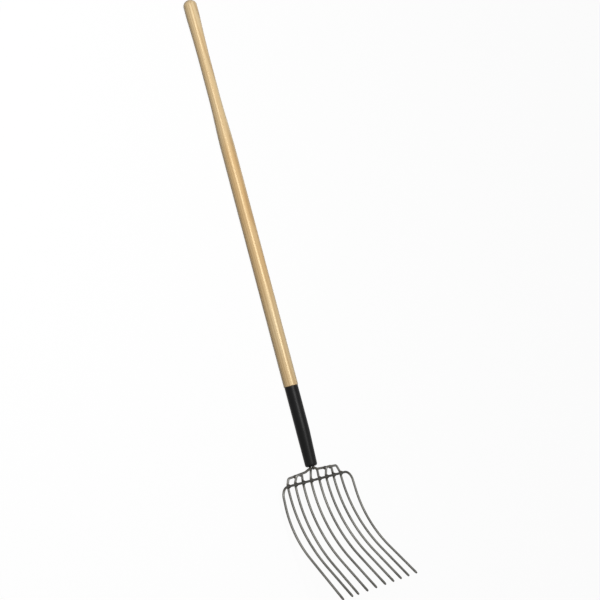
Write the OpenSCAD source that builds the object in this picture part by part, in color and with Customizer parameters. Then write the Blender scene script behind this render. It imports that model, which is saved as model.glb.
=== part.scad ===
// Manure fork: a welded ten-tine head of round bar, a bent steel ferrule and a turned wood handle.
// It lies on its back, the tines pointing along +X and curving up. Tine 1 is at -Y, tine 10 at +Y.

/* [Handle] */
// Wood that shows, from the end of the grip to the mouth of the ferrule (mm)
wood_len = 1015; // [800:5:1300]
// Diameter of the straight shaft (mm)
shaft_d = 36.5; // [36.5:0.5:42]
// Diameter of the grip at its end (mm)
grip_d = 35; // [32:0.5:36.5]
// Diameter of the waist below the grip (mm)
waist_d = 29.8; // [27:0.2:32]
// Length of the rounded end of the grip (mm)
dome_len = 16; // [10:1:24]
// Where the grip starts to narrow, from the end of the grip (mm)
narrow_start = 44; // [30:2:80]
// Where the waist starts, from the end of the grip (mm)
waist_start = 172; // [140:2:220]
// Where the waist ends, from the end of the grip (mm)
waist_end = 258; // [230:2:300]
// Where the straight shaft starts, from the end of the grip (mm)
shaft_start = 400; // [320:2:460]
// Broken edge of the wood at the ferrule (mm)
shaft_edge = 0.6; // [0.2:0.1:0.9]

/* [Ferrule] */
// Length of the ferrule along its axis (mm)
ferrule_len = 204; // [170:1:260]
// Diameter of the ferrule at its mouth (mm)
ferrule_d = 34; // [32:0.2:35]
// Diameter of the ferrule where its end starts to round off (mm)
ferrule_end_d = 30.4; // [28:0.2:33]
// Thickness of the ferrule's sheet (mm)
ferrule_wall = 1.6; // [1:0.1:2.2]
// Angle at which the ferrule is bent back (degrees)
bend_angle = 1.4; // [0.6:0.1:3]
// Distance from the bend to the end of the ferrule (mm)
bent_len = 95; // [88:1:130]
// Radius of the bend along the ferrule's axis (mm)
ferrule_bend_r = 400; // [200:10:600]
// Room between the ferrule and the wood inside it (mm)
wood_gap = 0.1; // [0.05:0.05:0.3]
// Distance of the wood's end from the end of the ferrule (mm)
wood_end_gap = 8; // [7.5:0.5:12]
// Distance of the ferrule's pin from the mouth (mm)
pin_x = 25; // [15:1:60]
// Diameter of the ferrule's pin (mm)
pin_d = 4; // [3:0.5:6]
// Depth of the pin from the ferrule's surface (mm)
pin_len = 16; // [10:1:22]
// Diameter of the pin's head (mm)
pin_head_d = 8.5; // [7:0.5:11]
// Height of the pin's head above the ferrule (mm)
pin_head_h = 0.9; // [0.4:0.1:1.1]
// Room round the pin (mm)
pin_gap = 0.05; // [0.02:0.01:0.1]

/* [Rods] */
// Diameter of the round bar (mm)
rod_d = 6; // [5:0.25:6.5]
// Room between two bars where they are welded across each other (mm)
weld_root = 0.4; // [0.3:0.1:0.8]
// Extra room between the four bars that go up into the handle (mm)
bundle_gap = 0.6; // [0.4:0.1:1]
// Length of those bars inside the ferrule (mm)
tang_len = 84; // [60:1:86]
// Room between those bars and the bore in the wood (mm)
tang_gap = 0.15; // [0.05:0.05:0.4]
// Thinning of a bar where it is bent (mm)
bend_thin = 0.05; // [0.03:0.01:0.1]
// Length of the pointed end of a tine (mm)
point_len = 6; // [4:1:25]
// Diameter of a tine's tip (mm)
point_d = 5; // [3:0.25:5.25]

/* [Tines] */
// Distance from the ferrule's end to the crossbar (mm)
crossbar_x = 33; // [31:0.5:40]
// Distance between tines at the crossbar (mm)
tine_pitch = 30.7; // [28:0.1:34]
// Distance between tines at their tips (mm)
tip_pitch = 34; // [31:0.1:38]
// Radius of the long curve of the tines (mm)
tine_bend_r = 340; // [280:4:400]
// Angle through which the tines curve (degrees)
tine_turn = 35.6; // [30:0.2:42]
// Distance from the crossbar to the start of the curve (mm)
curve_start = 5.5; // [5.5:0.5:10]
// Straight length at the end of each tine (mm)
tine_straight = 98; // [60:1:140]
// Radius of the frame rod's two corners (mm)
frame_corner_r = 25; // [15:1:30]
// Height at which tine 1 enters its curve, above the other tines (mm)
lift_1 = 6.5; // [0:0.5:8]
// Height at which tine 10 enters its curve, above the other tines (mm)
lift_10 = 11.5; // [0:0.5:14]
// Distance of tine 10's curve past that of the other tines (mm)
ahead_10 = 20; // [0:1:25]

/* [Shoulders] */
// Distance of the necks of tines 2 and 9 from the ferrule's end (mm)
neck_x = 2.8; // [2:0.2:4]
// Radius of the bends at the neck (mm)
neck_r = 7; // [5:0.5:8]
// Where the shoulder of tine 2 levels off, from the ferrule's end (mm)
shoulder_2_x = 10; // [8:0.5:12]
// Where the shoulder of tine 2 levels off, from the middle (mm)
shoulder_2_y = 30; // [22:1:36]
// Where the shoulder of tine 9 levels off, from the ferrule's end (mm)
shoulder_9_x = 8.6; // [7:0.2:10]
// Where the shoulder of tine 9 levels off, from the middle (mm)
shoulder_9_y = 20; // [17:1:26]
// Fall of the shoulder of tine 2 towards its corner (mm)
fall_2 = 5; // [2:0.5:6]
// Fall of the shoulder of tine 9 towards its corner (mm)
fall_9 = 2.9; // [1:0.1:5]
// Distance of the corners of tines 2 and 9 inside their tines (mm)
corner_inset = 8.5; // [6:0.5:10]
// Radius of the shoulder corners (mm)
corner_r = 8; // [5:0.5:9]
// Radius of the small bends above the crossbar (mm)
top_r = 9; // [6:0.5:10]
// Distance of those bends above the crossbar (mm)
top_lead = 3.5; // [3:0.5:5]

/* [Hairpins] */
// Radius of the corners of the two hairpins (mm)
hairpin_r = 6; // [4:0.5:8]
// How far the hairpin of tines 3 and 4 reaches over its shoulder rod (mm)
over_3_4 = 1; // [0:0.5:4]
// How far the hairpin of tines 7 and 8 reaches over its shoulder rod (mm)
over_7_8 = 1; // [0:0.5:4]
// Shift of the top of tine 3 (mm)
shift_3 = 4; // [-6:0.5:6]
// Shift of the top of tine 4 (mm)
shift_4 = -6; // [-9:0.5:4]
// Shift of the top of tine 7 (mm)
shift_7 = 0; // [-9:0.5:4]
// Shift of the top of tine 8 (mm)
shift_8 = -9; // [-11:0.5:4]

/* [Centre tines] */
// Neck of tine 5, from the ferrule's end (mm)
neck_5_x = 6; // [4:0.5:8]
// Bend of tine 5 above the crossbar, from the ferrule's end (mm)
top_5_x = 31; // [26:0.5:32]
// Neck of tine 6, from the ferrule's end (mm)
neck_6_x = 2.5; // [2:0.25:3.5]
// Elbow of tine 6, from the ferrule's end (mm)
elbow_6_x = 8.5; // [8:0.5:10]
// Elbow of tine 6, from the middle (mm)
elbow_6_y = 10.5; // [9:0.5:12]
// Elbow of tine 6 above the other tines (mm)
elbow_6_z = 6.5; // [6:0.1:8]
// Bend of tine 6 above the crossbar, from the ferrule's end (mm)
top_6_x = 25; // [24:0.5:26.5]
// Radius of the bends of the centre tines (mm)
centre_r = 12; // [8:0.5:15]
// Radius of the neck of tine 6 (mm)
neck_6_r = 5; // [4:0.5:6]

/* [Welds] */
// Diameter of the weld beads at the crossbar (mm)
cross_weld_d = 10.4; // [9:0.2:12]
// Diameter of the weld beads at the shoulders (mm)
shoulder_weld_d = 9.6; // [8.6:0.2:11]
// Diameter of the weld beads at the neck (mm)
neck_weld_d = 8; // [7:0.2:9]
// Distance of the neck beads from the ferrule's end (mm)
neck_weld_x = 4.6; // [4.5:0.1:6]
// Room between a weld and the bars it joins (mm)
weld_gap = 0.05; // [0.02:0.01:0.1]
// Room between the four bars and the rim of the ferrule's end hole (mm)
plug_margin = 0.9; // [0.7:0.1:1.5]

/* [Hidden] */
$fa = 2;
$fs = 0.4;
tine_count = 10;
ease_steps = 20;
// Length by which a cut runs past the face it goes through
overrun = 2;
// Length by which a straight stretch of a bar runs into its bends and its point
lap = 0.4;
// Part of the wall round the end hole that is rounded off
round_share = 0.93;
// Radius of the long bends in tines 1 and 10, as parts of that of the other tines
bend_share_1 = 0.7;
bend_share_10 = 0.82;
// Places of the tines off an even row, as parts of the pitch, at the crossbar and at the tips
cross_shares = [-0.04, 0, -0.05, -0.05, 0, 0.07, 0.02, -0.02, -0.05, 0.04];
tip_shares = [-0.02, 0.04, -0.25, -0.15, -0.08, 0.04, 0.06, 0.02, 0, 0.02];

rod_r = rod_d / 2;
tip_r = point_d / 2;
shaft_r = shaft_d / 2;
grip_r = grip_d / 2;
waist_r = waist_d / 2;
ferrule_r = ferrule_d / 2;
end_r = ferrule_end_d / 2;
cut_r = rod_r + weld_gap;
// Height of the crossbar's axis above the axes of the tines that it crosses
level = rod_d + weld_root;
// Distance of the four tang bars from the axis
bundle_r = rod_d / sqrt(2) + bundle_gap;
hole_r = bundle_r + rod_r + plug_margin;
bore_r = bundle_r + rod_r + tang_gap;
round_r = (end_r - hole_r) * round_share;
arc_run = tine_bend_r * tan(tine_turn / 2);
bend_1_r = tine_bend_r * bend_share_1;
bend_10_r = tine_bend_r * bend_share_10;
bend_x = crossbar_x + curve_start + arc_run;
top_x = crossbar_x - top_lead;
tip_run = arc_run + tine_straight;
corner_2_x = shoulder_2_x + fall_2;
corner_9_x = shoulder_9_x + fall_9;

// Points of the tines in the head's own frame: X along the ferrule's lower axis from its end
function cross_y(n) = (n - (tine_count + 1) / 2 + cross_shares[n - 1]) * tine_pitch;
function tip_y(n) = (n - (tine_count + 1) / 2 + tip_shares[n - 1]) * tip_pitch;
function mix(a, b, t) = a + (b - a) * t;
function bend_y(n, ahead) = mix(cross_y(n), tip_y(n), (arc_run + ahead) / (arc_run + tip_run));
function tip_pt(n) = [bend_x + tip_run * cos(tine_turn), tip_y(n), tip_run * sin(tine_turn)];
function bend_pt(n, lift = 0, ahead = 0) = [bend_x + ahead, bend_y(n, ahead), lift];
function top_pt(n) = [top_x, cross_y(n), 0];

// Distance of a shoulder rod from the ferrule's end at the place y
function shoulder_2_at(y) = shoulder_2_x
  + fall_2 * (-y - shoulder_2_y) / (-cross_y(2) - corner_inset - shoulder_2_y);
function shoulder_9_at(y) = shoulder_9_x
  + fall_9 * (y - shoulder_9_y) / (cross_y(9) - corner_inset - shoulder_9_y);

// A hairpin's legs slant so that they pass over the shoulder rod and under the crossbar
slant_3_4 = asin(level / (top_x - shoulder_2_at(cross_y(3))));
slant_7_8 = asin(level / (top_x - shoulder_9_at(cross_y(8))));
bar_3_4_x = shoulder_2_at(cross_y(3)) - over_3_4;
bar_7_8_x = shoulder_9_at(cross_y(8)) - over_7_8;
bar_3_4_z = (top_x - bar_3_4_x) * tan(slant_3_4);
bar_7_8_z = (top_x - bar_7_8_x) * tan(slant_7_8);

// The bars' paths, and the bend radius at each point of a path
frame_path = [tip_pt(1), bend_pt(1, lift_1), [crossbar_x, cross_y(1), level],
  [crossbar_x, cross_y(10), level], bend_pt(10, lift_10, ahead_10), tip_pt(10)];
frame_bends = [0, bend_1_r, frame_corner_r, frame_corner_r, bend_10_r, 0];
path_2 = [[-tang_len, -bundle_r, 0], [neck_x, -bundle_r, 0], [shoulder_2_x, -shoulder_2_y, 0],
  [corner_2_x, cross_y(2) + corner_inset, 0], top_pt(2), bend_pt(2), tip_pt(2)];
path_9 = [[-tang_len, bundle_r, 0], [neck_x, bundle_r, 0], [shoulder_9_x, shoulder_9_y, 0],
  [corner_9_x, cross_y(9) - corner_inset, 0], top_pt(9), bend_pt(9), tip_pt(9)];
shoulder_bends = [0, neck_r, centre_r, corner_r, top_r, tine_bend_r, 0];
path_5 = [[-tang_len, 0, -bundle_r], [neck_5_x, 0, -bundle_r], [top_5_x, cross_y(5), 0],
  bend_pt(5), tip_pt(5)];
bends_5 = [0, centre_r, centre_r, tine_bend_r, 0];
path_6 = [[-tang_len, 0, bundle_r], [neck_6_x, 0, bundle_r], [elbow_6_x, elbow_6_y, elbow_6_z],
  [top_6_x, cross_y(6), 0], bend_pt(6), tip_pt(6)];
bends_6 = [0, neck_6_r, centre_r, centre_r, tine_bend_r, 0];
path_3_4 = [tip_pt(3), bend_pt(3), top_pt(3), [bar_3_4_x, cross_y(3) + shift_3, bar_3_4_z],
  [bar_3_4_x, cross_y(4) + shift_4, bar_3_4_z], top_pt(4), bend_pt(4), tip_pt(4)];
path_7_8 = [tip_pt(7), bend_pt(7), top_pt(7), [bar_7_8_x, cross_y(7) + shift_7, bar_7_8_z],
  [bar_7_8_x, cross_y(8) + shift_8, bar_7_8_z], top_pt(8), bend_pt(8), tip_pt(8)];
hairpin_bends = [0, tine_bend_r, top_r, hairpin_r, hairpin_r, top_r, tine_bend_r, 0];

// Path, bends and the number of the point just above the crossbar, for each tine
tine_paths = [frame_path, path_2, path_3_4, path_3_4, path_5, path_6, path_7_8, path_7_8, path_9];
tine_bends = [frame_bends, shoulder_bends, hairpin_bends, hairpin_bends, bends_5, bends_6,
  hairpin_bends, hairpin_bends, shoulder_bends];
top_index = [0, 4, 2, 5, 2, 3, 2, 5, 4];

// The handle's axis: the fork is placed with its middle over the origin, its shaft on the ground
tip_back = [cos(tine_turn), 0, sin(tine_turn)] * tip_r;
tip_reach = bent_len + tip_pt(1)[0] - tip_back[0];
tip_rise = tip_pt(1)[2] - tip_back[2];
overall_len = wood_len + ferrule_len - bent_len
  + tip_reach * cos(bend_angle) + tip_rise * sin(bend_angle) + tip_r;
grip_x = -overall_len / 2;
mouth_x = grip_x + wood_len;
knee_x = mouth_x + ferrule_len - bent_len;
end_pt = [knee_x + bent_len * cos(bend_angle), 0, shaft_r - bent_len * sin(bend_angle)];
axis_path = [[mouth_x, 0, shaft_r], [knee_x, 0, shaft_r], end_pt];
axis_bends = [0, ferrule_bend_r, 0];
cone_len = bent_len - ferrule_bend_r * tan(bend_angle / 2);
// Radius of the ferrule's cone at a distance before its end
function cone_r(before) = mix(end_r, ferrule_r, (before - round_r) / (cone_len - round_r));

function unit(v) = v / norm(v);
function heading(p, i) = unit(p[i + 1] - p[i]);
function turn_at(p, i) = acos(heading(p, i - 1) * heading(p, i));
function cut_back(p, bends, i) = i == 0 || i == len(p) - 1 ? 0 : bends[i] * tan(turn_at(p, i) / 2);
function square_to(d) = unit(cross(abs(d[2]) * 2 < 1 ? [0, 0, 1] : [0, 1, 0], d));
function axes_at(x, y, z, o) = [for (k = [0 : 2]) [x[k], y[k], z[k], o[k]]];

// One straight stretch of a bent bar, from its point i to the next
module straight(p, bends, i, r, trim_a = 0, trim_b = 0) {
  d = heading(p, i);
  start = cut_back(p, bends, i) + trim_a - (i > 0 || trim_a > 0 ? lap : 0);
  stop = cut_back(p, bends, i + 1) + trim_b - (i < len(p) - 2 || trim_b > 0 ? lap : 0);
  run = norm(p[i + 1] - p[i]) - start - stop;
  x = square_to(d);
  multmatrix(axes_at(x, cross(d, x), d, p[i] + d * start)) cylinder(h = run, r = r);
}

// The bend of a bar at its point i
module bend(p, bends, i, r) {
  a = heading(p, i - 1);
  b = heading(p, i);
  n = unit(b - a * (a * b));
  multmatrix(axes_at(-n, a, cross(a, n), p[i] - a * cut_back(p, bends, i) + n * bends[i]))
    rotate_extrude(angle = turn_at(p, i)) translate([bends[i], 0]) circle(r = r - bend_thin);
}

// A stretch of a bar from one point of its path to another, with the bends between and at its ends
module rod_run(p, bends, from, to, r) {
  for (i = [from : to - 1]) straight(p, bends, i, r);
  for (i = [from : to]) if (i > 0 && i < len(p) - 1) bend(p, bends, i, r);
}

// The tapered and rounded end of a tine
module tine_point(at, back) {
  x = square_to(back);
  multmatrix(axes_at(x, cross(back, x), back, at + back * tip_r)) {
    cylinder(h = point_len - tip_r, r1 = tip_r - bend_thin, r2 = rod_r - bend_thin);
    sphere(r = tip_r);
  }
}

// A bent bar with a tine's point at its far end, or at both ends
module rod(p, bends, both = false) {
  last = len(p) - 1;
  for (i = [0 : last - 1])
    straight(p, bends, i, rod_r, both && i == 0 ? point_len : 0, i == last - 1 ? point_len : 0);
  for (i = [1 : last - 1]) bend(p, bends, i, rod_r);
  tine_point(p[last], -heading(p, last - 1));
  if (both) tine_point(p[0], heading(p, 0));
}

// The head's frame, at the end of the ferrule along its lower axis
module on_head() {
  translate(end_pt) rotate([0, bend_angle, 0]) children();
}

// The handle's frame, Z along the shaft from the end of the grip
module on_handle() {
  translate([grip_x, 0, shaft_r]) rotate([0, 90, 0]) children();
}

// Half outline of the ferrule's lower cone with its rounded end, drawn in by the given wall
module cone_outline(wall) {
  polygon([[0, -cone_len - lap], [ferrule_r - wall, -cone_len - lap], [ferrule_r - wall, -cone_len],
    [end_r - wall, -round_r], [0, -round_r]]);
  translate([0, -round_r]) square([end_r - round_r, round_r - wall]);
  intersection() {
    translate([end_r - round_r, -round_r]) circle(r = round_r - wall);
    translate([end_r - round_r, -round_r]) square([round_r, round_r]);
  }
}

// The pin's hole or shank, from the underside of the ferrule inwards
module pin_shank(r, depth) {
  translate([mouth_x + pin_x, 0, shaft_r - ferrule_r]) cylinder(h = depth, r = r);
}

module handle() {
  dome = [for (k = [0 : ease_steps]) let (a = 90 * k / ease_steps)
    [grip_r * sin(a), dome_len * (1 - cos(a))]];
  neck = [for (k = [0 : ease_steps]) let (t = k / ease_steps)
    [mix(grip_r, waist_r, sin(90 * t)), mix(narrow_start, waist_start, t)]];
  swell = [for (k = [0 : ease_steps]) let (t = k / ease_steps)
    [mix(waist_r, shaft_r, (1 - cos(180 * t)) / 2), mix(waist_end, shaft_start, t)]];
  foot = [[shaft_r, wood_len - shaft_edge], [shaft_r - shaft_edge, wood_len], [0, wood_len]];
  inner_r = ferrule_r - ferrule_wall - wood_gap;
  shank_r = cone_r(wood_end_gap) - ferrule_wall - wood_gap;
  color("burlywood") difference() {
    union() {
      on_handle() rotate_extrude() polygon(concat(dome, neck, swell, foot));
      straight(axis_path, axis_bends, 0, inner_r, -overrun);
      bend(axis_path, axis_bends, 1, inner_r);
      on_head() translate([-cone_len - lap, 0, 0]) rotate([0, 90, 0])
        cylinder(h = cone_len + lap - wood_end_gap, r1 = inner_r, r2 = shank_r);
    }
    on_head() translate([-tang_len - overrun, 0, 0]) rotate([0, 90, 0])
      cylinder(h = tang_len + overrun, r = bore_r);
    pin_shank(pin_d / 2 + pin_gap, pin_len + overrun);
  }
}

module ferrule() {
  inner_r = ferrule_r - ferrule_wall;
  color([0.13, 0.13, 0.13]) difference() {
    union() {
      straight(axis_path, axis_bends, 0, ferrule_r);
      bend(axis_path, axis_bends, 1, ferrule_r);
      on_head() rotate([0, 90, 0]) rotate_extrude() cone_outline(0);
    }
    union() {
      straight(axis_path, axis_bends, 0, inner_r, -overrun);
      bend(axis_path, axis_bends, 1, inner_r);
      on_head() rotate([0, 90, 0]) rotate_extrude() cone_outline(ferrule_wall);
    }
    on_head() translate([-ferrule_wall - overrun, 0, 0]) rotate([0, 90, 0])
      cylinder(h = ferrule_wall + overrun * 2, r = hole_r);
    translate([0, 0, -overrun]) pin_shank(pin_d / 2 + pin_gap, ferrule_r);
  }
}

module ferrule_pin() {
  head_h = pin_head_h + overrun;
  color([0.3, 0.3, 0.29]) {
    pin_shank(pin_d / 2, pin_len);
    difference() {
      translate([0, 0, -pin_head_h]) pin_shank(pin_head_d / 2, head_h);
      translate([mouth_x, 0, shaft_r]) rotate([0, 90, 0])
        cylinder(h = pin_x * 2, r = ferrule_r + pin_gap);
    }
  }
}

module frame_rod() {
  color([0.42, 0.41, 0.38]) on_head() rod(frame_path, frame_bends, true);
}

module shoulder_tine_2() {
  color([0.43, 0.42, 0.39]) on_head() rod(path_2, shoulder_bends);
}

module shoulder_tine_9() {
  color([0.43, 0.42, 0.39]) on_head() rod(path_9, shoulder_bends);
}

module centre_tine_5() {
  color([0.44, 0.43, 0.4]) on_head() rod(path_5, bends_5);
}

module centre_tine_6() {
  color([0.44, 0.43, 0.4]) on_head() rod(path_6, bends_6);
}

module hairpin_tines_3_4() {
  color([0.42, 0.41, 0.38]) on_head() rod(path_3_4, hairpin_bends, true);
}

module hairpin_tines_7_8() {
  color([0.42, 0.41, 0.38]) on_head() rod(path_7_8, hairpin_bends, true);
}

// The bead where tine n passes under the crossbar
module crossbar_weld(n) {
  k = top_index[n - 1];
  color([0.24, 0.24, 0.22]) on_head() difference() {
    translate([crossbar_x, cross_y(n), level / 2]) sphere(d = cross_weld_d);
    rod_run(tine_paths[n - 1], tine_bends[n - 1], k - 1, k + 1, cut_r);
    rod_run(frame_path, frame_bends, 2, 3, cut_r);
  }
}

// The bead where the leg of tine n lies over its shoulder rod
module shoulder_weld(n) {
  side_2 = n < 5;
  path = tine_paths[n - 1];
  k = top_index[n - 1];
  bar = path[k == 2 ? 3 : 4];
  slant = side_2 ? slant_3_4 : slant_7_8;
  near_x = side_2 ? shoulder_2_at(cross_y(n)) : shoulder_9_at(cross_y(n));
  apart = (top_x - near_x) * sin(slant);
  y = mix(cross_y(n), bar[1], (top_x - near_x - apart * sin(slant)) / (top_x - bar[0]));
  x = side_2 ? shoulder_2_at(y) : shoulder_9_at(y);
  color([0.24, 0.24, 0.22]) on_head() difference() {
    translate([x + apart * sin(slant) / 2, y, apart * cos(slant) / 2]) sphere(d = shoulder_weld_d);
    rod_run(path, hairpin_bends, k == 2 ? 2 : 3, k == 2 ? 4 : 5, cut_r);
    rod_run(side_2 ? path_2 : path_9, shoulder_bends, 2, 3, cut_r);
  }
}

// The weld that fills the ferrule's end hole round the four bars
module neck_weld() {
  color([0.2, 0.2, 0.19]) on_head() difference() {
    translate([-ferrule_wall, 0, 0]) rotate([0, 90, 0])
      cylinder(h = ferrule_wall, r = hole_r - weld_gap);
    for (n = [2, 5, 6, 9]) rod_run(tine_paths[n - 1], tine_bends[n - 1], 0, 2, cut_r);
  }
}

// The bead between two of the four bars just below the ferrule
module neck_bead(a, b) {
  side = a < 5 ? -1 : 1;
  color([0.24, 0.24, 0.22]) on_head() difference() {
    translate([neck_weld_x, side * bundle_r / 2, side * bundle_r / 2]) sphere(d = neck_weld_d);
    for (n = [a, b]) rod_run(tine_paths[n - 1], tine_bends[n - 1], 0, 2, cut_r);
  }
}

module neck_weld_2_5() {
  neck_bead(2, 5);
}

module neck_weld_6_9() {
  neck_bead(6, 9);
}

handle();
ferrule();
ferrule_pin();
frame_rod();
shoulder_tine_2();
shoulder_tine_9();
centre_tine_5();
centre_tine_6();
hairpin_tines_3_4();
hairpin_tines_7_8();
for (n = [2 : tine_count - 1])
  crossbar_weld(n);
for (n = [3, 4, 7, 8])
  shoulder_weld(n);
neck_weld();
neck_weld_2_5();
neck_weld_6_9();
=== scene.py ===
import math

import bmesh
import bpy
from mathutils import Matrix, Vector, noise


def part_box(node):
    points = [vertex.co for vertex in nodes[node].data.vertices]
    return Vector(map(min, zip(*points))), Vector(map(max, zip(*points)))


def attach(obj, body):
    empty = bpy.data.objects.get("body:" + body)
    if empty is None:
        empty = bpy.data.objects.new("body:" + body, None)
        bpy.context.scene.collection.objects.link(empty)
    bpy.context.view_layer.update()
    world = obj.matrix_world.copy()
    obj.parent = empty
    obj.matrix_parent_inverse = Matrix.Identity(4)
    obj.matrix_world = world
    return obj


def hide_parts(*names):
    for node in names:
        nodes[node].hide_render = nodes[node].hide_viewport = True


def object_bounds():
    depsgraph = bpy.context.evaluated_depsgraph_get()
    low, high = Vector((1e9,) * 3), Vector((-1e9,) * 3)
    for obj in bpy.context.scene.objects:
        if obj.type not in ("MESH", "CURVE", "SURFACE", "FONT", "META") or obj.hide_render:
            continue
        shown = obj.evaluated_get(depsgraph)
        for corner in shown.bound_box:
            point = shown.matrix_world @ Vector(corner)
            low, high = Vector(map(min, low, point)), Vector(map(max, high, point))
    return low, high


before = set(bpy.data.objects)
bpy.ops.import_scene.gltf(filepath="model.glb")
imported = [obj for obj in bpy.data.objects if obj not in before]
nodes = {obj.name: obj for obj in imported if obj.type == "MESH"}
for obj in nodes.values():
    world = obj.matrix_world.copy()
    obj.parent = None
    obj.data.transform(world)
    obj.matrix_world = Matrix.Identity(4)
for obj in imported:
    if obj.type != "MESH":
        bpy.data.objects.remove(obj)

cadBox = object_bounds()
print("frame loaded:", len(nodes), "nodes")

mm = 0.001  # in metres
perMetre = 1000.0  # in millimetres
white = (1, 1, 1, 1)


# places along the fork, in metres, read from the solids
forkPlaces = {
    "gripEnd": cadBox[0][0],
    "mouth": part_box("ferrule")[0][0],
    "ferruleEnd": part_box("ferrule")[1][0],
    "crossbar": (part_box("crossbar_weld_5")[0][0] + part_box("crossbar_weld_5")[1][0]) / 2,
    "tips": cadBox[1][0],
}


# camera at the photo's viewing angle
cameraLook = {
    "place": (0.50314, -3.0951, 2.46369),
    "right": (0.257, 0.6078, 0.7513),
    "up": (-0.9595, 0.0677, 0.2735),
    "lens": 95.96,
    "sensor": 36.0,
    "sight": 100.0,
}


def placeCamera(look):
    right = Vector(look["right"]).normalized()
    up = Vector(look["up"])
    up = (up - right * up.dot(right)).normalized()  # made square to the other
    back = right.cross(up)
    data = bpy.data.cameras.new("forkCamera")
    data.sensor_fit = "HORIZONTAL"
    data.sensor_width = look["sensor"]
    data.lens = look["lens"]
    data.clip_end = look["sight"]
    eye = bpy.data.objects.new("forkCamera", data)
    turn = Matrix((right, up, back)).transposed().to_4x4()
    eye.matrix_world = Matrix.Translation(Vector(look["place"])) @ turn
    bpy.context.scene.collection.objects.link(eye)
    bpy.context.scene.camera = eye


placeCamera(cameraLook)
bpy.context.scene.view_settings.view_transform = "Standard"
print("camera placed")


# small helpers for node trees
def addNode(tree, kind, **values):
    node = tree.nodes.new(kind)
    for name, value in values.items():
        setattr(node, name, value)
    return node


def feed(tree, node, inputs):  # links sockets, and sets plain values
    for name, value in inputs.items():
        socket = node.inputs[name]
        if isinstance(value, bpy.types.NodeSocket):
            tree.links.new(value, socket)
        else:
            socket.default_value = value
    return node


def mathNode(tree, operation, a, b=0.0, c=0.0, clamp=False):
    node = addNode(tree, "ShaderNodeMath", operation=operation, use_clamp=clamp)
    feed(tree, node, {0: a, 1: b, 2: c})
    return node.outputs[0]


def smoothMask(tree, value, low, high, outLow=0.0, outHigh=1.0):
    node = addNode(tree, "ShaderNodeMapRange", interpolation_type="SMOOTHSTEP")
    feed(tree, node, {"Value": value, "From Min": low, "From Max": high,
                      "To Min": outLow, "To Max": outHigh})
    return node.outputs["Result"]


def mixColour(tree, factor, a, b):
    node = addNode(tree, "ShaderNodeMix", data_type="RGBA")
    node.clamp_factor = True
    feed(tree, node, {0: factor, 6: a, 7: b})  # the colour sockets of a Mix node
    return node.outputs[2]


def scaledVector(tree, vector, scale):
    node = addNode(tree, "ShaderNodeVectorMath", operation="MULTIPLY")
    feed(tree, node, {0: vector, 1: scale})
    return node.outputs[0]


def splitVector(tree, vector):
    return feed(tree, addNode(tree, "ShaderNodeSeparateXYZ"), {0: vector}).outputs


def noiseValue(tree, vector, scale, detail=3.0, rough=0.55):
    node = addNode(tree, "ShaderNodeTexNoise")
    feed(tree, node, {"Vector": vector, "Scale": scale, "Detail": detail, "Roughness": rough})
    return node.outputs[0]


def bumpFrom(tree, height, look):
    node = addNode(tree, "ShaderNodeBump")
    feed(tree, node, {"Strength": look["bump"], "Distance": look["bumpDepth"], "Height": height})
    return node.outputs[0]


def newGroup(name, inputs, outputs, kind="ShaderNodeTree"):
    group = bpy.data.node_groups.new(name, kind)
    for label, socketKind, value in inputs:
        socket = group.interface.new_socket(label, in_out="INPUT", socket_type=socketKind)
        if value is not None:
            socket.default_value = value
    for label, socketKind in outputs:
        group.interface.new_socket(label, in_out="OUTPUT", socket_type=socketKind)
    return group, group.nodes.new("NodeGroupInput"), group.nodes.new("NodeGroupOutput")


def useGroup(tree, group, inputs):
    node = tree.nodes.new("ShaderNodeGroup")
    node.node_tree = group
    return feed(tree, node, inputs)


def srgb(r, g, b):  # screen values to light
    def linear(c):
        c = c / 255.0
        return c / 12.92 if c <= 0.04045 else ((c + 0.055) / 1.055) ** 2.4
    return (linear(r), linear(g), linear(b), 1.0)


# effect of all four finishes: cloudy change of tone, its size in millimetres
cloudLook = {
    "size": 40.0,
    "stretch": 1.0,
    "broadDetail": 2.0,
    "fineTimes": 9.0,
    "fineDetail": 4.0,
    "fineRough": 0.6,
}


def buildClouds(look):
    group, gin, gout = newGroup(
        "cloudyTone",
        [("Vector", "NodeSocketVector", None), ("Size", "NodeSocketFloat", look["size"]),
         ("Stretch", "NodeSocketFloat", look["stretch"])],
        [("Tone", "NodeSocketFloat"), ("Fine", "NodeSocketFloat")])
    x, y, z = splitVector(group, gin.outputs["Vector"])
    along = mathNode(group, "DIVIDE", x, gin.outputs["Stretch"])
    join = addNode(group, "ShaderNodeCombineXYZ")
    feed(group, join, {0: along, 1: y, 2: z})
    scale = mathNode(group, "DIVIDE", perMetre, gin.outputs["Size"])
    broad = noiseValue(group, join.outputs[0], scale, look["broadDetail"])
    fineScale = mathNode(group, "MULTIPLY", scale, look["fineTimes"])
    fine = noiseValue(group, join.outputs[0], fineScale, look["fineDetail"], look["fineRough"])
    feed(group, gout, {"Tone": broad, "Fine": fine})
    return group


cloudGroup = buildClouds(cloudLook)


def cloudsOn(tree, vector, look):
    sizes = {"Vector": vector, "Size": look["cloudSize"], "Stretch": look["cloudStretch"]}
    return useGroup(tree, cloudGroup, sizes).outputs


# effect of the bars: heat marks, worn tips and a painted highlight between the rows of welds, by place
# along the fork, in metres
heatLook = {
    "reach": 0.014,  # both ways from the crossbar
    "barCore": 0.003,
    "neckReach": 0.012,  # from the ferrule
    "neckCore": 0.003,
    "neckShow": 0.6,
    "tipReach": 0.03,
    "tipCore": 0.004,
    "highlightOffNeck": (0.010, 0.016),
    "highlightOffBar": (0.004, 0.009),
    "wander": 0.012,
    "wanderScale": 90.0,
    "wanderDetail": 2.0,
}


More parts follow.
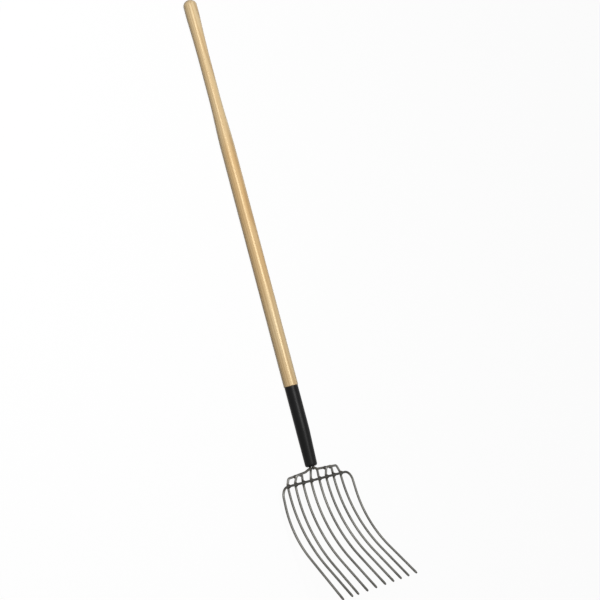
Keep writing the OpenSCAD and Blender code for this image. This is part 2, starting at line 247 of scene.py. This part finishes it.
def buildHeat(look, places):
    group, gin, gout = newGroup(
        "weldHeat",
        [("Vector", "NodeSocketVector", None), ("Reach", "NodeSocketFloat", look["reach"])],
        [("Heat", "NodeSocketFloat"), ("Tip", "NodeSocketFloat"), ("PaintedHighlight", "NodeSocketFloat")])
    neck, crossbar, tips = places["ferruleEnd"], places["crossbar"], places["tips"]
    wander = noiseValue(group, gin.outputs["Vector"], look["wanderScale"], look["wanderDetail"])
    shift = mathNode(group, "MULTIPLY_ADD", wander, look["wander"], -look["wander"] / 2)
    x = mathNode(group, "ADD", splitVector(group, gin.outputs["Vector"])[0], shift)
    fromBar = mathNode(group, "ABSOLUTE", mathNode(group, "SUBTRACT", x, crossbar))
    barHeat = smoothMask(group, fromBar, gin.outputs["Reach"], look["barCore"])
    neckHeat = smoothMask(group, x, neck + look["neckReach"], neck + look["neckCore"],
                          0.0, look["neckShow"])
    heat = mathNode(group, "MAXIMUM", barHeat, neckHeat)
    tip = smoothMask(group, x, tips - look["tipReach"], tips - look["tipCore"])
    offNeck = smoothMask(group, x, *(neck + d for d in look["highlightOffNeck"]))
    offBar = smoothMask(group, x, *(crossbar - d for d in look["highlightOffBar"]))
    paintedHighlight = mathNode(group, "MULTIPLY", offNeck, offBar)  # a painted highlight between the two rows of welds, standing in for reflections on the bars
    feed(group, gout, {"Heat": heat, "Tip": tip, "PaintedHighlight": paintedHighlight})
    return group


heatGroup = buildHeat(heatLook, forkPlaces)
print("shared effects built")


def newMaterial(name):
    material = bpy.data.materials.new(name)
    material.use_nodes = True
    tree = material.node_tree
    tree.nodes.clear()
    out = tree.nodes.new("ShaderNodeOutputMaterial")
    shader = tree.nodes.new("ShaderNodeBsdfPrincipled")
    tree.links.new(shader.outputs[0], out.inputs[0])
    place = tree.nodes.new("ShaderNodeTexCoord").outputs["Object"]
    return material, tree, shader, place


# turned ash with a clear lacquer, its figure in millimetres
ashLook = {
    "pale": srgb(218, 196, 155),
    "warm": srgb(212, 174, 120),
    "early": srgb(182, 147, 101),
    "pore": srgb(140, 106, 70),
    "ringStep": 5.0,
    "ringWobble": 22.0,
    "heartAcross": 11.0,  # the tree's heart, outside the handle and leaning along it
    "heartBelow": 46.0,
    "leanAcross": 0.009,
    "leanBelow": -0.013,
    "slowGrain": (0.0022, 0.016, 0.016),
    "slowDetail": 2.0,
    "earlyWood": (0.08, 0.42),
    "earlyShow": 0.52,
    "lateWood": (0.7, 0.98),
    "lateShow": 0.3,
    "poreGrain": (0.11, 4.2, 4.2),
    "poreDetail": 1.5,
    "poreCut": (0.56, 0.66),
    "poreShow": 0.6,
    "fibreGrain": (0.018, 1.9, 1.9),
    "fibreDetail": 4.0,
    "fibreRough": 0.62,
    "fibreCut": (0.5, 0.78),
    "fibreShow": 0.5,
    "cloudSize": 34.0,
    "cloudStretch": 7.0,
    "cloudCut": (0.32, 0.68),
    "cloudShow": 0.5,
    "warmFrom": -390.0,  # a warmer stretch of the shaft
    "warmTo": 30.0,
    "warmSoftStart": 60.0,
    "warmSoftEnd": 70.0,
    "warmRagged": 240.0,
    "warmShow": 0.55,
    "endGrainAndShade": (9.0, 1.0),  # a darker grip end: partly end grain that drinks more lacquer, partly painted shade on the dome
    "endGrainShadeShow": 0.6,
    "bump": 0.22,
    "bumpDepth": 0.00018,
    "fibreHeight": 0.35,
    "rough": 0.26,
    "roughSpread": 0.12,
    "poreRough": 0.2,
    "sheenLevel": 0.65,
    "sheen": (1.0, 0.86, 0.58, 1.0),
}


def makeAsh(look, places):
    material, tree, shader, place = newMaterial("lacqueredAsh")
    grain = scaledVector(tree, place, (perMetre, perMetre, perMetre))
    x, y, z = splitVector(tree, grain)
    slow = noiseValue(tree, scaledVector(tree, grain, look["slowGrain"]), 1.0, look["slowDetail"])

    # growth rings, with open pores in the early wood
    wobble = mathNode(tree, "MULTIPLY_ADD", slow, look["ringWobble"], -look["ringWobble"] / 2)
    across = mathNode(tree, "MULTIPLY_ADD", x, look["leanAcross"], look["heartAcross"])
    across = mathNode(tree, "ADD", across, y)
    below = mathNode(tree, "MULTIPLY_ADD", x, look["leanBelow"], look["heartBelow"])
    below = mathNode(tree, "ADD", below, z)
    square = mathNode(tree, "ADD", mathNode(tree, "MULTIPLY", across, across),
                      mathNode(tree, "MULTIPLY", below, below))
    reach = mathNode(tree, "ADD", mathNode(tree, "SQRT", square), wobble)
    ring = mathNode(tree, "FRACT", mathNode(tree, "DIVIDE", reach, look["ringStep"]))
    early = mathNode(tree, "SUBTRACT", 1.0, smoothMask(tree, ring, *look["earlyWood"]))
    late = smoothMask(tree, ring, *look["lateWood"])
    dash = noiseValue(tree, scaledVector(tree, grain, look["poreGrain"]), 1.0, look["poreDetail"])
    pore = mathNode(tree, "MULTIPLY", smoothMask(tree, dash, *look["poreCut"]), early)
    fibre = noiseValue(tree, scaledVector(tree, grain, look["fibreGrain"]), 1.0,
                       look["fibreDetail"], look["fibreRough"])

    # colour, from the broad changes of tone down to the pores
    clouds = cloudsOn(tree, place, look)
    tone = smoothMask(tree, clouds["Tone"], *look["cloudCut"])
    middle = mathNode(tree, "SUBTRACT", x, look["warmRagged"] / 2)
    ragged = mathNode(tree, "MULTIPLY_ADD", slow, look["warmRagged"], middle)
    begin, soft = look["warmFrom"], look["warmSoftStart"]
    afterStart = smoothMask(tree, ragged, begin - soft, begin + soft)
    end, soft = look["warmTo"], look["warmSoftEnd"]
    beforeEnd = smoothMask(tree, ragged, end + soft, end - soft)
    stretch = mathNode(tree, "MULTIPLY", afterStart, beforeEnd)
    tone = mathNode(tree, "MULTIPLY", tone, look["cloudShow"])
    tone = mathNode(tree, "MULTIPLY_ADD", stretch, look["warmShow"], tone, clamp=True)
    colour = mixColour(tree, tone, look["pale"], look["warm"])
    colour = mixColour(tree, mathNode(tree, "MULTIPLY", early, look["earlyShow"]), colour, look["early"])
    colour = mixColour(tree, mathNode(tree, "MULTIPLY", late, look["lateShow"]), colour, look["early"])
    threads = smoothMask(tree, fibre, *look["fibreCut"], 0.0, look["fibreShow"])
    colour = mixColour(tree, threads, colour, look["warm"])
    colour = mixColour(tree, mathNode(tree, "MULTIPLY", pore, look["poreShow"]), colour, look["pore"])
    # painted shade: the colour darkens towards the grip end, partly for end grain and partly as shade on
    # the dome
    gripEnd = places["gripEnd"] * perMetre
    endGrainAndShade = smoothMask(tree, x, *(gripEnd + d for d in look["endGrainAndShade"]), 0.0, look["endGrainShadeShow"])
    colour = mixColour(tree, endGrainAndShade, colour, look["pore"])

    height = mathNode(tree, "SUBTRACT", mathNode(tree, "MULTIPLY", fibre, look["fibreHeight"]), pore)
    rough = mathNode(tree, "MULTIPLY_ADD", clouds["Fine"], look["roughSpread"], look["rough"])
    rough = mathNode(tree, "MULTIPLY_ADD", pore, look["poreRough"], rough)
    feed(tree, shader, {"Base Color": colour, "Roughness": rough, "Normal": bumpFrom(tree, height, look),
                        "Specular IOR Level": look["sheenLevel"], "Specular Tint": look["sheen"]})
    return material


# satin black paint on the ferrule, rubbed at its mouth
paintLook = {
    "black": srgb(18, 18, 18),
    "grey": srgb(25, 25, 25),
    "rub": srgb(92, 78, 62),
    "dust": srgb(84, 80, 72),
    "cloudSize": 22.0,
    "cloudStretch": 3.0,
    "cloudCut": (0.35, 0.7),
    "streaks": (26.0, 900.0, 900.0),
    "streakDetail": 3.0,
    "streakCut": (0.63, 0.72),
    "scuffCut": (0.5, 0.66),
    "scuffShow": 0.5,
    "rubEdge": (0.0048, 0.0024),  # from the mouth, in metres
    "rubRagged": 0.004,
    "rubShow": 0.75,
    "peelScale": 620.0,
    "peelDetail": 2.0,
    "scuffDepth": 0.6,
    "bump": 0.16,
    "bumpDepth": 0.0003,
    "rough": 0.29,
    "roughSpread": 0.16,
    "scuffRough": 0.2,
    "sheenLevel": 0.12,
}


def makePaint(look, places):
    material, tree, shader, place = newMaterial("satinBlackPaint")
    x = splitVector(tree, place)[0]
    clouds = cloudsOn(tree, place, look)
    tone = smoothMask(tree, clouds["Tone"], *look["cloudCut"])
    colour = mixColour(tree, tone, look["black"], look["grey"])
    streak = noiseValue(tree, scaledVector(tree, place, look["streaks"]), 1.0, look["streakDetail"])
    scuff = mathNode(tree, "MULTIPLY", smoothMask(tree, streak, *look["streakCut"]),
                     smoothMask(tree, clouds["Tone"], *look["scuffCut"]))
    colour = mixColour(tree, mathNode(tree, "MULTIPLY", scuff, look["scuffShow"]), colour, look["dust"])
    ragged = mathNode(tree, "MULTIPLY_ADD", clouds["Fine"], look["rubRagged"], x)
    rim = smoothMask(tree, ragged, *(places["mouth"] + d for d in look["rubEdge"]))
    colour = mixColour(tree, mathNode(tree, "MULTIPLY", rim, look["rubShow"]), colour, look["rub"])
    peel = noiseValue(tree, place, look["peelScale"], look["peelDetail"])
    height = mathNode(tree, "SUBTRACT", peel, mathNode(tree, "MULTIPLY", scuff, look["scuffDepth"]))
    rough = mathNode(tree, "MULTIPLY_ADD", clouds["Fine"], look["roughSpread"], look["rough"])
    rough = mathNode(tree, "MULTIPLY_ADD", scuff, look["scuffRough"], rough)
    feed(tree, shader, {"Base Color": colour, "Roughness": rough, "Normal": bumpFrom(tree, height, look),
                        "Specular IOR Level": look["sheenLevel"]})
    return material


# round bar with a thin warm grey scale, heated at the welds and worn at the tips
barLook = {
    "grey": srgb(112, 111, 106),
    "dark": srgb(86, 85, 81),
    "bright": srgb(145, 144, 139),
    "heat": srgb(54, 52, 48),
    "straw": srgb(106, 92, 70),
    "tip": srgb(66, 65, 60),
    "paintedHighlight": srgb(134, 133, 129),
    "cloudSize": 12.0,
    "cloudStretch": 9.0,
    "cloudCut": (0.3, 0.7),
    "brightCut": (0.58, 0.7),
    "brightShow": 0.5,
    "heatReach": 0.0085,
    "heatShow": 0.8,
    "strawShow": 1.1,
    "tipShow": 0.7,
    "paintedHighlightShow": 0.8,
    "drawnLines": (45.0, 2400.0, 2400.0),
    "drawnDetail": 3.0,
    "drawnHeight": 0.7,
    "pitScale": 1500.0,
    "pitDetail": 3.0,
    "bump": 0.2,
    "bumpDepth": 0.0002,
    "rough": 0.34,
    "roughSpread": 0.22,
    "heatRough": 0.14,
    "metal": 0.52,
    "metalSpread": 0.18,
}


def makeBar(look):
    material, tree, shader, place = newMaterial("greyBarSteel")
    onBar = addNode(tree, "ShaderNodeAttribute", attribute_name="barPlace").outputs["Vector"]
    clouds = cloudsOn(tree, onBar, look)
    marks = useGroup(tree, heatGroup, {"Vector": place, "Reach": look["heatReach"]}).outputs
    tone = smoothMask(tree, clouds["Tone"], *look["cloudCut"])
    colour = mixColour(tree, tone, look["dark"], look["grey"])
    flecks = smoothMask(tree, clouds["Fine"], *look["brightCut"], 0.0, look["brightShow"])
    colour = mixColour(tree, flecks, colour, look["bright"])
    # painted highlight: a lighter colour on the bars between the rows of welds, standing in for their
    # reflections
    highlightShare = mathNode(tree, "MULTIPLY", marks["PaintedHighlight"], look["paintedHighlightShow"])
    colour = mixColour(tree, highlightShare, colour, look["paintedHighlight"])
    cool = mathNode(tree, "SUBTRACT", 1.0, marks["Heat"])
    straw = mathNode(tree, "MULTIPLY", marks["Heat"], cool)  # round the edge of the heat
    straw = mathNode(tree, "MULTIPLY", straw, look["strawShow"], clamp=True)
    colour = mixColour(tree, straw, colour, look["straw"])
    burnt = mathNode(tree, "MULTIPLY", marks["Heat"], look["heatShow"])
    colour = mixColour(tree, burnt, colour, look["heat"])
    worn = mathNode(tree, "MULTIPLY", marks["Tip"], look["tipShow"])
    colour = mixColour(tree, worn, colour, look["tip"])
    drawn = noiseValue(tree, scaledVector(tree, onBar, look["drawnLines"]), 1.0, look["drawnDetail"])
    pits = noiseValue(tree, place, look["pitScale"], look["pitDetail"])
    height = mathNode(tree, "MULTIPLY_ADD", drawn, look["drawnHeight"], pits)
    rough = mathNode(tree, "MULTIPLY_ADD", clouds["Fine"], look["roughSpread"], look["rough"])
    rough = mathNode(tree, "MULTIPLY_ADD", marks["Heat"], look["heatRough"], rough)
    metal = mathNode(tree, "MULTIPLY_ADD", tone, look["metalSpread"], look["metal"])
    feed(tree, shader, {"Base Color": colour, "Roughness": rough, "Metallic": metal,
                        "Normal": bumpFrom(tree, height, look)})
    return material


# weld metal, dark with straw and blue patches
weldLook = {
    "dark": srgb(54, 52, 48),
    "grey": srgb(92, 89, 82),
    "straw": srgb(106, 84, 56),
    "blue": srgb(62, 66, 78),
    "cloudSize": 7.0,
    "cloudStretch": 1.0,
    "greyCut": (0.4, 0.66),
    "strawCut": (0.56, 0.7),
    "strawShow": 0.55,
    "blueCut": (0.44, 0.32),
    "blueShow": 0.5,
    "gritScale": 2600.0,
    "gritDetail": 2.0,
    "bump": 0.25,
    "bumpDepth": 0.00015,
    "rough": 0.36,
    "roughSpread": 0.2,
    "metal": 0.45,
    "metalSpread": 0.25,
}


def makeWeld(look):
    material, tree, shader, place = newMaterial("darkWeldMetal")
    clouds = cloudsOn(tree, place, look)
    colour = mixColour(tree, smoothMask(tree, clouds["Fine"], *look["greyCut"]), look["dark"], look["grey"])
    for tint in ("straw", "blue"):
        patch = smoothMask(tree, clouds["Tone"], *look[tint + "Cut"], 0.0, look[tint + "Show"])
        colour = mixColour(tree, patch, colour, look[tint])
    grit = noiseValue(tree, place, look["gritScale"], look["gritDetail"])
    rough = mathNode(tree, "MULTIPLY_ADD", clouds["Fine"], look["roughSpread"], look["rough"])
    metal = mathNode(tree, "MULTIPLY_ADD", clouds["Tone"], look["metalSpread"], look["metal"])
    feed(tree, shader, {"Base Color": colour, "Roughness": rough, "Metallic": metal,
                        "Normal": bumpFrom(tree, grit, look)})
    return material


ash = makeAsh(ashLook, forkPlaces)
blackPaint = makePaint(paintLook, forkPlaces)
barSteel = makeBar(barLook)
weldMetal = makeWeld(weldLook)
print("materials built")


def dress(node, material):
    mesh = nodes[node].data
    mesh.materials.clear()
    mesh.materials.append(material)


dress("handle", ash)
dress("ferrule", blackPaint)
dress("ferrule_pin", blackPaint)
print("solids dressed")


# the bent bars, in millimetres: x from the ferrule's end, y across, z the way the tines curve
headLook = {
    "wood": 1015.0, "ferrule": 204.0, "bentPart": 95.0, "bentAngle": 1.4, "shaftRadius": 18.25,
    "barRadius": 3.0, "tipRadius": 2.5, "taper": 6.0,
    "ringStep": 0.8, "sides": 16, "bendPoints": 64, "mergeWithin": 0.02,
    "tang": 84.0, "bundleGap": 0.6, "weldRoot": 0.4,
    "crossbar": 33.0, "pitch": 30.7, "tipPitch": 34.0,
    "crossShares": (-0.04, 0, -0.05, -0.05, 0, 0.07, 0.02, -0.02, -0.05, 0.04),
    "tipShares": (-0.02, 0.04, -0.25, -0.15, -0.08, 0.04, 0.06, 0.02, 0, 0.02),
    "bendRadius": 340.0, "turn": 35.6, "curveStart": 5.5, "straight": 98.0,
    "frameCorner": 25.0, "lift1": 6.5, "lift10": 11.5, "ahead10": 20.0, "share1": 0.7, "share10": 0.82,
    "neck": 2.8, "neckRadius": 7.0, "cornerInset": 8.5, "cornerRadius": 8.0,
    "shoulder2": (10.0, 30.0, 5.0), "shoulder9": (8.6, 20.0, 2.9),
    "topLead": 3.5, "topRadius": 9.0, "hairpinRadius": 6.0,
    "over34": 1.0, "over78": 1.0, "shift": {3: 4.0, 4: -6.0, 7: 0.0, 8: -9.0},
    "centreRadius": 12.0, "neck5": 6.0, "top5": 31.0,
    "neck6": 2.5, "elbow6": (8.5, 10.5, 6.5), "top6": 25.0, "neck6Radius": 5.0,
}


# points and bend radii of each bar, as the solids have them, and whether both ends are tips
def barPaths(look):
    turn = math.radians(look["turn"])
    arcRun = look["bendRadius"] * math.tan(turn / 2)
    bendX = look["crossbar"] + look["curveStart"] + arcRun
    tipRun = arcRun + look["straight"]
    topX = look["crossbar"] - look["topLead"]
    level = 2 * look["barRadius"] + look["weldRoot"]
    bundle = math.sqrt(2) * look["barRadius"] + look["bundleGap"]
    middle = (len(look["crossShares"]) + 1) / 2

    def crossY(n):
        return (n - middle + look["crossShares"][n - 1]) * look["pitch"]

    def tipY(n):
        return (n - middle + look["tipShares"][n - 1]) * look["tipPitch"]

    def tip(n):
        return (bendX + tipRun * math.cos(turn), tipY(n), tipRun * math.sin(turn))

    def bend(n, lift=0.0, ahead=0.0):
        spread = (tipY(n) - crossY(n)) * (arcRun + ahead) / (arcRun + tipRun)
        return (bendX + ahead, crossY(n) + spread, lift)

    def top(n):
        return (topX, crossY(n), 0.0)

    def shoulder(n):  # tang, neck, shoulder, corner and the tine
        side = -1 if n == 2 else 1
        x, y, fall = look["shoulder%d" % n]
        return [(-look["tang"], side * bundle, 0), (look["neck"], side * bundle, 0), (x, side * y, 0),
                (x + fall, crossY(n) - side * look["cornerInset"], 0), top(n), bend(n), tip(n)]

    def shoulderAt(n, y):  # how far a shoulder is from the ferrule's end at the place y
        side = -1 if n == 2 else 1
        x, start, fall = look["shoulder%d" % n]
        return x + fall * (side * y - start) / (side * crossY(n) - look["cornerInset"] - start)

    def hairpin(a, b, shoulderOf, beside, over):  # over the shoulder rod and under the crossbar
        rodX = shoulderAt(shoulderOf, crossY(beside))
        slant = math.asin(level / (topX - rodX))
        x = rodX - over
        z = (topX - x) * math.tan(slant)
        return [tip(a), bend(a), top(a), (x, crossY(a) + look["shift"][a], z),
                (x, crossY(b) + look["shift"][b], z), top(b), bend(b), tip(b)]

    frameRod = [tip(1), bend(1, look["lift1"]), (look["crossbar"], crossY(1), level),
                (look["crossbar"], crossY(10), level), bend(10, look["lift10"], look["ahead10"]), tip(10)]
    centre5 = [(-look["tang"], 0, -bundle), (look["neck5"], 0, -bundle),
               (look["top5"], crossY(5), 0), bend(5), tip(5)]
    centre6 = [(-look["tang"], 0, bundle), (look["neck6"], 0, bundle), look["elbow6"],
               (look["top6"], crossY(6), 0), bend(6), tip(6)]
    long, small, mid = look["bendRadius"], look["hairpinRadius"], look["centreRadius"]
    corner = look["frameCorner"]
    frameBends = [0, long * look["share1"], corner, corner, long * look["share10"], 0]
    shoulderBends = [0, look["neckRadius"], mid, look["cornerRadius"], look["topRadius"], long, 0]
    hairpinBends = [0, long, look["topRadius"], small, small, look["topRadius"], long, 0]
    return {
        "frame_rod": (frameRod, frameBends, True),
        "shoulder_tine_2": (shoulder(2), shoulderBends, False),
        "shoulder_tine_9": (shoulder(9), shoulderBends, False),
        "centre_tine_5": (centre5, [0, mid, mid, long, 0], False),
        "centre_tine_6": (centre6, [0, look["neck6Radius"], mid, mid, long, 0], False),
        "hairpin_tines_3_4": (hairpin(3, 4, 2, 3, look["over34"]), hairpinBends, True),
        "hairpin_tines_7_8": (hairpin(7, 8, 9, 8, look["over78"]), hairpinBends, True),
    }


# sweeps a round bar along a path, with tapered and rounded tips
def buildBarTree(look, sizes):
    lengths = ("Bar Radius", "Tip Radius", "Taper", "Ring Step")
    group, gin, gout = newGroup(
        "bentBar",
        [("Geometry", "NodeSocketGeometry", None)]
        + [(label, "NodeSocketFloat", sizes[label]) for label in lengths]
        + [("Sides", "NodeSocketInt", sizes["Sides"]), ("Both Ends", "NodeSocketBool", False),
           ("Material", "NodeSocketMaterial", None)],
        [("Geometry", "NodeSocketGeometry")], "GeometryNodeTree")
    barRadius, tipRadius = gin.outputs["Bar Radius"], gin.outputs["Tip Radius"]

    def stored(name, kind):  # reads an attribute
        node = addNode(group, "GeometryNodeInputNamedAttribute", data_type=kind)
        return feed(group, node, {"Name": name}).outputs["Attribute"]

    def store(shape, name, kind, value):
        node = addNode(group, "GeometryNodeStoreNamedAttribute", data_type=kind, domain="POINT")
        return feed(group, node, {"Geometry": shape, "Name": name, "Value": value}).outputs[0]

    line = feed(group, addNode(group, "GeometryNodeMeshToCurve"), {"Mesh": gin.outputs["Geometry"]})
    bent = addNode(group, "GeometryNodeFilletCurve", mode="POLY")
    feed(group, bent, {"Curve": line.outputs[0], "Radius": stored("bend", "FLOAT"),
                       "Count": look["bendPoints"]})
    even = addNode(group, "GeometryNodeResampleCurve", mode="LENGTH")
    feed(group, even, {"Curve": bent.outputs[0], "Length": gin.outputs["Ring Step"]})

    # thickness by the way that is left to the tip
    along = addNode(group, "GeometryNodeSplineParameter").outputs["Length"]
    whole = addNode(group, "GeometryNodeSplineLength").outputs["Length"]
    toEnd = mathNode(group, "SUBTRACT", whole, along)
    pick = addNode(group, "GeometryNodeSwitch", input_type="FLOAT")
    feed(group, pick, {"Switch": gin.outputs["Both Ends"], "False": toEnd,
                       "True": mathNode(group, "MINIMUM", along, toEnd)})
    toTip = pick.outputs[0]
    thick = addNode(group, "ShaderNodeMapRange")
    feed(group, thick, {"Value": toTip, "From Min": tipRadius, "From Max": gin.outputs["Taper"],
                        "To Min": tipRadius, "To Max": barRadius})
    near = mathNode(group, "DIVIDE", toTip, tipRadius, clamp=True)
    short = mathNode(group, "SUBTRACT", 1.0, near)
    dome = mathNode(group, "SUBTRACT", 1.0, mathNode(group, "MULTIPLY", short, short))
    scale = mathNode(group, "MULTIPLY", thick.outputs[0], mathNode(group, "SQRT", dome))

    ring = addNode(group, "GeometryNodeCurvePrimitiveCircle", mode="RADIUS")
    feed(group, ring, {"Resolution": gin.outputs["Sides"], "Radius": 1.0})
    onRing = addNode(group, "GeometryNodeInputPosition").outputs[0]
    tube = addNode(group, "GeometryNodeCurveToMesh")
    feed(group, tube, {"Curve": store(even.outputs[0], "along", "FLOAT", along),
                       "Profile Curve": store(ring.outputs["Curve"], "around", "FLOAT_VECTOR", onRing),
                       "Scale": scale, "Fill Caps": True})

    # the place on the bar as if it were straight, for patterns that follow it
    across = splitVector(group, stored("around", "FLOAT_VECTOR"))
    straight = addNode(group, "ShaderNodeCombineXYZ")
    feed(group, straight, {0: stored("along", "FLOAT"),
                           1: mathNode(group, "MULTIPLY", across[0], barRadius),
                           2: mathNode(group, "MULTIPLY", across[1], barRadius)})
    marked = store(tube.outputs[0], "barPlace", "FLOAT_VECTOR", straight.outputs[0])
    merged = addNode(group, "GeometryNodeMergeByDistance")
    feed(group, merged, {"Geometry": marked, "Distance": look["mergeWithin"] * mm})
    smooth = feed(group, addNode(group, "GeometryNodeSetShadeSmooth"), {"Geometry": merged.outputs[0]})
    real = feed(group, addNode(group, "GeometryNodeRealizeInstances"), {"Geometry": smooth.outputs[0]})
    coated = addNode(group, "GeometryNodeSetMaterial")
    feed(group, coated, {"Geometry": real.outputs[0], "Material": gin.outputs["Material"]})
    feed(group, gout, {"Geometry": coated.outputs[0]})
    return group


def plainMesh(piece):  # the mesh that the modifiers make
    return bpy.data.meshes.new_from_object(piece.evaluated_get(bpy.context.evaluated_depsgraph_get()))


def makeBars(look):
    angle = math.radians(look["bentAngle"])
    endX = cadBox[0][0] * perMetre + look["wood"] + look["ferrule"]
    endX -= look["bentPart"] * (1 - math.cos(angle))
    endZ = look["shaftRadius"] - look["bentPart"] * math.sin(angle)
    onHead = Matrix.Translation((endX, 0, endZ)) @ Matrix.Rotation(angle, 4, "Y")
    sizes = {"Bar Radius": look["barRadius"] * mm, "Tip Radius": look["tipRadius"] * mm,
             "Taper": look["taper"] * mm, "Ring Step": look["ringStep"] * mm, "Sides": look["sides"]}
    tree = buildBarTree(look, sizes)
    sockets = {s.name: s.identifier for s in tree.interface.items_tree if s.in_out == "INPUT"}
    bars = []
    for node, (points, bends, both) in barPaths(look).items():
        mesh = bpy.data.meshes.new("path_" + node)
        corners = [onHead @ Vector(q) * mm for q in points]
        mesh.from_pydata(corners, [(i, i + 1) for i in range(len(points) - 1)], [])
        mesh.attributes.new("bend", "FLOAT", "POINT").data.foreach_set("value", [b * mm for b in bends])
        bar = bpy.data.objects.new("bar_" + node, mesh)
        bpy.context.scene.collection.objects.link(bar)
        sweep = bar.modifiers.new("sweep", "NODES")
        sweep.node_group = tree
        for label, value in {**sizes, "Both Ends": both, "Material": barSteel}.items():
            sweep[sockets[label]] = value
        shape = plainMesh(bar)
        bar.modifiers.clear()
        bar.data = shape
        bpy.data.meshes.remove(mesh)
        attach(bar, "root")
        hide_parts(node)
        bars.append(bar)
    return bars


bars = makeBars(headLook)
print("bars:", len(bars), "with", sum(len(b.data.polygons) for b in bars), "faces")


# weld beads, in metres: the solid beads with ripples and small lumps
beadLook = {
    "mergeWithin": 1e-6,
    "voxel": 0.00034,
    "ripple": 0.00016,
    "rippleStep": 0.0013,
    "rippleLevel": 0.6,
    "turnRadius": 0.0045,
    "climb": 0.5,
    "lump": 0.00022,
    "lumpScale": 260.0,
}


def makeBead(node, look):
    work = bmesh.new()
    work.from_mesh(nodes[node].data)
    bmesh.ops.remove_doubles(work, verts=work.verts, dist=look["mergeWithin"])
    mesh = bpy.data.meshes.new("bead_" + node)
    work.to_mesh(mesh)
    work.free()
    piece = bpy.data.objects.new("bead_" + node, mesh)
    bpy.context.scene.collection.objects.link(piece)
    remesh = piece.modifiers.new("even", "REMESH")
    remesh.mode = "VOXEL"
    remesh.voxel_size = look["voxel"]
    shape = plainMesh(piece)
    piece.modifiers.clear()
    piece.data = shape
    bpy.data.meshes.remove(mesh)
    middle = sum((v.co for v in shape.vertices), Vector()) / len(shape.vertices)
    normals = [v.normal.copy() for v in shape.vertices]
    for v, n in zip(shape.vertices, normals):
        p = v.co - middle
        run = math.atan2(p.y, p.x) * look["turnRadius"] + abs(p.z) * look["climb"]
        wave = abs(math.sin(math.pi * run / look["rippleStep"])) - look["rippleLevel"]
        lump = noise.noise(v.co * look["lumpScale"])
        v.co += n * (wave * look["ripple"] + lump * look["lump"])
    shape.materials.clear()
    shape.materials.append(weldMetal)
    for face in shape.polygons:
        face.use_smooth = True
    shape.update()
    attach(piece, "root")
    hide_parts(node)
    return piece


beads = [makeBead(node, beadLook) for node in sorted(nodes) if "weld" in node]
print("weld beads:", len(beads))


# floor, world and lamp
studioLook = {
    "floorSize": 14.0,
    "floorDrop": 0.0004,
    "floorColour": (0.15, 0.15, 0.15, 1.0),
    "floorShow": 0.7,
    "floorGlow": 1.36,
    "fill": 0.02,
    "lampPower": 132.0,
    "lampSize": (3.2, 0.6),
    "lampAlong": -0.75,
    "lampAway": 3.3,
    "lampTilt": 37.0,
    "lampTurn": 46.0,
}


def seenRay(tree):  # by the camera, or in a reflection or through glass
    path = tree.nodes.new("ShaderNodeLightPath")
    mirrored = mathNode(tree, "MAXIMUM", path.outputs["Is Glossy Ray"], path.outputs["Is Transmission Ray"])
    return mathNode(tree, "MAXIMUM", path.outputs["Is Camera Ray"], mirrored)


def makeFloor(look):
    half, low = look["floorSize"] / 2, -look["floorDrop"]
    mesh = bpy.data.meshes.new("studioFloor")
    corners = [(-half, -half, low), (half, -half, low), (half, half, low), (-half, half, low)]
    mesh.from_pydata(corners, [], [(0, 1, 2, 3)])
    floor = bpy.data.objects.new("studioFloor", mesh)
    bpy.context.scene.collection.objects.link(floor)
    material = bpy.data.materials.new("paleFloor")
    material.use_nodes = True
    tree = material.node_tree
    tree.nodes.clear()
    out = tree.nodes.new("ShaderNodeOutputMaterial")
    matt = feed(tree, tree.nodes.new("ShaderNodeBsdfDiffuse"), {"Color": look["floorColour"]})
    glow = tree.nodes.new("ShaderNodeEmission")
    feed(tree, glow, {"Color": white, "Strength": look["floorGlow"]})
    share = mathNode(tree, "MULTIPLY", seenRay(tree), look["floorShow"])
    mix = tree.nodes.new("ShaderNodeMixShader")
    feed(tree, mix, {0: share, 1: matt.outputs[0], 2: glow.outputs[0]})
    tree.links.new(mix.outputs[0], out.inputs[0])
    mesh.materials.append(material)


def makeWorld(look):
    world = bpy.data.worlds.new("studioWorld")
    bpy.context.scene.world = world
    world.use_nodes = True
    sky = world.node_tree
    sky.nodes.clear()
    out = sky.nodes.new("ShaderNodeOutputWorld")
    dome = feed(sky, sky.nodes.new("ShaderNodeBackground"), {"Color": white})
    strength = mathNode(sky, "MULTIPLY_ADD", seenRay(sky), 1.0 - look["fill"], look["fill"])
    sky.links.new(strength, dome.inputs["Strength"])
    sky.links.new(dome.outputs[0], out.inputs[0])


def makeLamp(look):
    data = bpy.data.lights.new("softBox", "AREA")
    data.shape = "RECTANGLE"
    data.size, data.size_y = look["lampSize"]
    data.energy = look["lampPower"]
    lamp = bpy.data.objects.new("softBox", data)
    tilt, away = math.radians(look["lampTilt"]), look["lampAway"]
    lamp.location = (look["lampAlong"], -math.sin(tilt) * away, math.cos(tilt) * away)
    lamp.rotation_euler = (tilt, 0.0, math.radians(look["lampTurn"]))
    bpy.context.scene.collection.objects.link(lamp)


makeFloor(studioLook)
makeWorld(studioLook)
makeLamp(studioLook)
print("studio ready")
